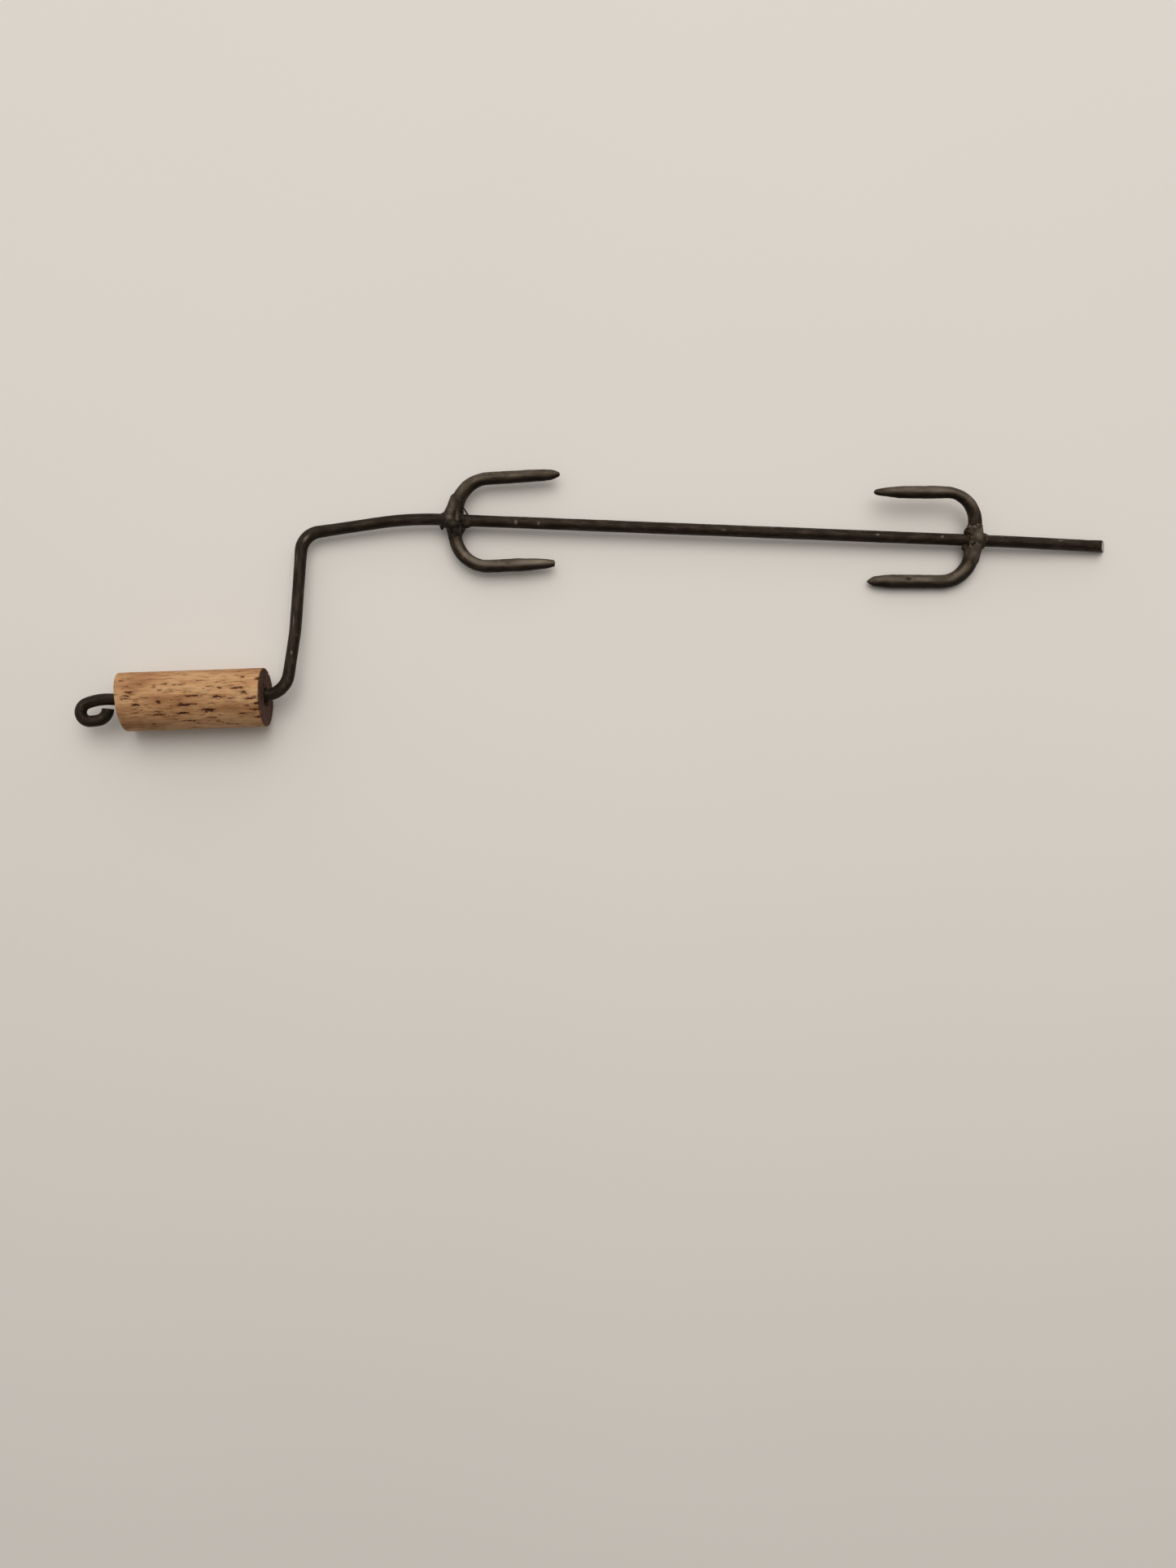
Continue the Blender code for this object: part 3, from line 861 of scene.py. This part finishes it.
# Each tine: its fork's crossing, its bend's corner and radius, its point, and its outline from the point
TINES = {
    "near_fork_upper_tine": (
        NEAR_FORK, Vector((-19.5, 17.07, 2.25)), 4.6, Vector((-5.6, 18.47, 2.2)),
        ((0, 0.06), (0.05, 0.2), (0.18, 0.32), (0.6, 0.52), (1.2, 0.68), (2.1, 0.78), (3.8, 0.81), (8, 0.86),
         (11, 0.86), (13, 0.93), (16, 0.99)),
    ),
    "near_fork_lower_tine": (
        NEAR_FORK, Vector((-19.68, 5.2, 1.85)), 4.4, Vector((-5.8, 6.35, 1.8)),
        ((0, 0.06), (0.03, 0.3), (0.12, 0.43), (0.5, 0.52), (1.2, 0.65), (2.1, 0.74), (3.4, 0.83), (5, 0.9),
         (7.5, 0.88), (11, 0.86), (14, 0.92), (16, 0.93)),
    ),
    "far_fork_upper_tine": (
        FAR_FORK, Vector((51.3, 17.82, 3.62)), 4.3, Vector((37, 17.34, 3.6)),
        ((0, 0.06), (0.08, 0.2), (0.3, 0.36), (0.8, 0.48), (2.2, 0.67), (3.5, 0.8), (5, 0.85), (9, 0.85),
         (11, 0.74), (14, 0.86), (16, 0.93)),
    ),
    "far_fork_lower_tine": (
        FAR_FORK, Vector((51.1, 6.14, 0.93)), 4.0, Vector((37.1, 5.67, 0.9)),
        ((0, 0.05), (0.1, 0.17), (0.45, 0.4), (0.9, 0.68), (2.3, 0.88), (3.6, 0.94), (11, 0.94), (13, 1.0),
         (16, 1.06)),
    ),
}
# How bright the painted highlight on each tine's upper side is
TINE_HIGHLIGHTS = {
    "near_fork_upper_tine": 0.15,
    "near_fork_lower_tine": 0.4,
    "far_fork_upper_tine": 0.4,
    "far_fork_lower_tine": 0.3,
}
# Dents in each tine: distance from its point, angle round it, size and depth
DENTS = {
    "near_fork_upper_tine": (),
    "near_fork_lower_tine": ((6.6, math.radians(100), 0.3, 0.12),),
    "far_fork_upper_tine": ((1.0, math.radians(60), 0.3, 0.05),),
    "far_fork_lower_tine": ((5.6, math.radians(60), 0.26, 0.3), (0.9, math.radians(90), 0.3, 0.08)),
}


# The strand's three places, from the near crossing
STRAND_PLACES = ((0.72, 2.05, 0.35), (1.2, 1.35, 0.4), (1.62, 0.7, 0.3))
STRAND_BEND_RADIUS = 2.0
STRAND_STEP = 0.06
STRAND_SIDES = 16


def make_strand(name, finish):
    """A thin strand of weld metal beside the near crossing, clear of the rod and the leg between its ends."""
    first, middle, last = (NEAR_FORK + Vector(place) for place in STRAND_PLACES)
    path = rounded_path([(first, 0), (middle, STRAND_BEND_RADIUS), (last, 0)])
    strand = Wire(path, STRAND_STEP, STRAND_SIDES, (HIDDEN_CAP, HIDDEN_CAP))
    strand.build(0.1 + 0.05 * np.abs(strand.along - strand.length / 2), 0.12)
    attributes = {"crown_wear_and_highlight": np.zeros(strand.across.size), "soot_and_shade": np.zeros(strand.across.size)}
    finish_piece(name, strand.mesh(name), attributes, finish, None, "spit")


def make_near_welds(finish):
    """The near crossing: a buttressed collar over the rod with worn facets that carry painted highlights, and
    a darker lump below it.
    """
    make_lump(
        "near_upper_weld_bead",
        "near_fork_upper_weld",
        NEAR_FORK,
        bar((-0.3, 1.0, 0.1), (0.0, 2.75, 0.05), 1.2, 0.97)
        + bar((-1.35, 0.85, 0), (-0.35, 2.5, 0), 0.42, 0.6)
        + bar((-0.82, -0.02, 0.82), (-0.42, 2.4, 0.38), 0.8, 0.62)
        + bar((0.24, 1.05, 0.85), (0.27, -0.2, 1.08), 0.42, 0.5)
        + bar((0.9, -0.1, 0), (2.1, -0.05, 0), 0.97, 0.78)
        + bar((-1.1, 0.25, 0), (-1.65, 0.1, 0), 0.95, 0.85)
        + [((-0.1, 0.5, -0.5), (1.1, 1.15, 1.2), 0), ((0.2, 1.2, 0), (0.84, 0.8, 0.98), 0)],
        pits=(),
        crowns=(
            ((-0.5, 2.0, 1.0), (0.34, 0.75, 1.0), 0.0, 0.7),
            ((-0.62, 1.1, 1.3), (0.42, 0.6, 1.0), 0.0, 0.75),
            ((-0.75, 0.05, 1.6), (0.45, 0.45, 0.8), 0.03, 0.95),
            ((0.26, 0.3, 1.6), (0.2, 0.6, 0.8), 0.03, 0.7),
        ),
        grooves=(
            ((-0.1, 1.0), (-0.06, -0.28), 0.09, 0.14),
            ((0.66, 0.95), (0.76, -0.45), 0.14, 0.2),
            ((-1.5, 0.5), (-1.5, -0.05), 0.09, 0.12),
        ),
        ripples=(),
        tarnish=0.35,
        seed=1,
        finish=finish,
    )
    make_lump(
        "near_lower_weld_bead",
        "near_fork_lower_weld",
        NEAR_FORK,
        bar((-0.05, -1.1, 0), (-0.06, -2.5, -0.05), 1.22, 0.84)
        + bar((1.02, -1.25, 0.25), (0.6, -2.1, 0.15), 0.34, 0.3)
        + bar((-1.9, -0.75, 0.1), (-1.84, -1.3, 0.1), 0.36, 0.2)
        + [
            ((-0.45, -0.7, 0.7), (1.3, 0.8, 0.9), 0),
            ((-1.6, -0.5, 0.1), (0.7, 0.6, 0.75), 0.3),
            ((1.2, -0.45, 0.05), (1.0, 0.66, 0.85), 0),
            ((0, -0.6, -0.55), (1.3, 1.3, 1.15), 0),
        ],
        pits=(((-0.35, -1.75, 0.95), 0.45, 0.02), ((0.35, -2.3, 0.8), 0.4, 0.02)),
        crowns=(
            ((0.75, -1.5, 0.75), (0.17, 0.5, 0.6), 0.04, 0.7),
            ((-0.05, -0.75, 1.65), (0.2, 0.15, 0.4), 0.03, 0.5),
        ),
        grooves=(((1.08, -1.15), (0.88, -1.9), 0.09, 0.12), ((-1.3, -0.3), (-1.45, -1.2), 0.1, 0.1)),
        ripples=(),
        tarnish=0.55,
        seed=2,
        finish=finish,
    )
    make_strand("near_weld_strand", finish)


def make_far_welds(finish):
    """The far crossing: a rippled bead that leans over the rod, and a broad lump with deep pits below it."""
    make_lump(
        "far_upper_weld_bead",
        "far_fork_upper_weld",
        FAR_FORK,
        bar((0.06, 0.8, 0.22), (0.06, 1.5, 0.42), 1.28, 1.1)
        + bar((0.25, 0.3, 0.2), (1.4, 0.15, 0.1), 1.05, 0.86)
        + [
            ((0.06, 1.8, 0.5), (1.06, 0.64, 1.06), 0),
            ((0.35, 0.45, 0.72), (0.85, 1.15, 0.88), 0.3),
            ((-0.95, 1.15, 0.45), (0.42, 0.62, 0.6), -0.5),
            ((1.35, 0.55, 0.1), (0.55, 0.45, 0.7), -0.6),
            ((0.1, 0.6, -0.4), (1.3, 1.2, 0.95), 0),
        ],
        pits=(
            ((-0.12, 0.1, 1.5), 0.12, 0.06),
            ((-0.09, -0.55, 1.3), 0.15, 0.3),
            ((-1.1, 1.25, 0.9), 0.3, 0.04),
        ),
        crowns=(
            ((-0.15, 2.15, 1.5), (0.6, 0.14, 0.8), 0.03, 0.9),
            ((0.15, 1.95, 1.5), (0.24, 0.24, 0.8), 0.02, 0.95),
            ((-0.26, 1.58, 1.5), (0.24, 0.13, 0.6), 0.04, 1.0),
            ((-0.85, 1.7, 1.2), (0.16, 0.15, 0.6), 0.03, 1.0),
            ((0.75, 1.3, 1.3), (0.2, 0.5, 0.7), 0.02, 0.7),
            ((0.4, 0.25, 1.5), (0.6, 0.75, 0.8), 0.03, 0.65),
            ((-0.5, 0.15, 1.4), (0.28, 0.14, 0.5), 0.02, 0.6),
            ((0.2, -0.62, 1.3), (0.24, 0.15, 0.6), 0.03, 0.95),
        ),
        grooves=(
            ((-0.65, 2.45), (0.4, 2.36), 0.07, 0.05),
            ((-0.65, 1.8), (-0.2, 1.95), 0.07, 0.1),
            ((-0.2, 1.95), (0.1, 1.7), 0.07, 0.1),
            ((-1.18, 0.81), (-0.84, 0.63), 0.1, 0.12),
            ((-0.84, 0.63), (-0.7, -0.2), 0.1, 0.14),
            ((1.42, 0.25), (1.42, -0.2), 0.1, 0.14),
        ),
        ripples=(((0.3, 0.5, 1.5), 1.2, 0.3, 0.015),),
        tarnish=0,
        seed=3,
        finish=finish,
    )
    make_lump(
        "far_lower_weld_bead",
        "far_fork_lower_weld",
        FAR_FORK,
        bar((0.08, -0.85, 0.02), (-0.02, -2.5, -0.42), 1.24, 1.08)
        + bar((0.9, -0.4, 0.1), (1.3, -0.75, 0), 0.75, 0.4)
        + [
            ((-1.05, -1.0, 0.05), (0.5, 0.5, 0.6), 0),
            ((0.05, -0.8, 0.3), (1.1, 1.0, 1.08), 0),
            ((0, -0.7, -0.5), (1.25, 1.2, 1.0), 0),
        ],
        pits=(
            ((-0.37, -0.87, 1.2), 0.2, 0.32),
            ((-0.12, -0.6, 1.35), 0.16, 0.3),
            ((-0.88, -0.8, 0.7), 0.24, 0.3),
        ),
        crowns=(
            ((0.0, -1.75, 0.9), (0.95, 1.1, 0.9), 0.0, 0.5),
            ((-0.68, -0.95, 1.0), (0.12, 0.35, 0.5), 0.03, 0.6),
        ),
        grooves=(((-0.55, -2.86), (0.2, -2.82), 0.08, 0.04),),
        ripples=(),
        tarnish=0.05,
        seed=4,
        finish=finish,
    )


def make_object():
    steel = dark_steel("dark_steel", ROD_TONES, ROD_RUBBED)
    forged_steel = dark_steel("forged_steel", TINE_TONES, TINE_RUBBED)
    weld = weld_metal()
    make_rod(steel)
    for seed, (name, (fork, corner, bend, tip, outline)) in enumerate(TINES.items(), start=1):
        path = tine_path(fork, corner, bend, tip)
        make_tine(name, path, outline, DENTS[name], TINE_HIGHLIGHTS[name], seed, forged_steel)
    make_near_welds(weld)
    make_far_welds(weld)
    make_grip(open_grained_wood())


# The stage, in metres

TABLE_SIZE = 1.2
KEY_SIZE = 0.52
KEY_WATTS = 1.85
KEY_COLOUR = (1.0, 0.975, 0.94)
KEY_TOWARDS = (0.03, 0.46, 1.0)
KEY_DISTANCE = 0.62
ROOM_TOWARDS = (-0.15, 0.75, 0.6)
ROOM_DARK = (0.13, 0.123, 0.114)
ROOM_BRIGHT = (1.03, 0.995, 0.95)
LENS_LENGTH = 28.96
CAMERA_PLACE = (-0.00015, -0.02365, 0.1744)
CAMERA_TURN = math.radians(2.2)


def make_stage():
    """A pale table, a large soft lamp overhead towards +Y, and a room that is brightest on that side."""
    bpy.ops.mesh.primitive_plane_add(size=TABLE_SIZE, location=(0, 0, 0))
    floor = bpy.context.object
    floor.name = "table_top"
    floor.data.materials.append(pale_floor())

    key = bpy.data.lights.new("soft_key", "AREA")
    key.shape = "DISK"
    key.size = KEY_SIZE
    key.energy = KEY_WATTS
    key.color = KEY_COLOUR
    lamp = bpy.data.objects.new("soft_key", key)
    towards = Vector(KEY_TOWARDS).normalized()
    lamp.location = towards * KEY_DISTANCE
    lamp.rotation_euler = towards.to_track_quat("Z", "Y").to_euler()
    bpy.context.scene.collection.objects.link(lamp)

    world = bpy.data.worlds.new("soft_room")
    world.use_nodes = True
    tree = world.node_tree
    background = tree.nodes["Background"]
    background.inputs["Strength"].default_value = 1.0
    sky = tree.nodes.new("ShaderNodeTexCoord")
    facing = tree.nodes.new("ShaderNodeVectorMath")
    facing.operation = "DOT_PRODUCT"
    facing.inputs[1].default_value = Vector(ROOM_TOWARDS).normalized()
    room = tree.nodes.new("ShaderNodeValToRGB")
    room.color_ramp.elements[0].color = (*ROOM_DARK, 1)
    room.color_ramp.elements[1].color = (*ROOM_BRIGHT, 1)
    tree.links.new(sky.outputs["Generated"], facing.inputs[0])
    tree.links.new(facing.outputs["Value"], room.inputs["Fac"])
    tree.links.new(room.outputs["Color"], background.inputs["Color"])
    bpy.context.scene.world = world
    bpy.context.scene.view_settings.view_transform = "Standard"


def make_camera():
    """Straight down on the object, turned a little about the vertical."""
    lens = bpy.data.cameras.new("camera")
    lens.lens = LENS_LENGTH
    lens.clip_start = 0.01
    camera = bpy.data.objects.new("camera", lens)
    camera.location = CAMERA_PLACE
    camera.rotation_euler = (0, 0, CAMERA_TURN)
    bpy.context.scene.collection.objects.link(camera)
    bpy.context.scene.camera = camera


make_camera()
make_stage()
make_object()
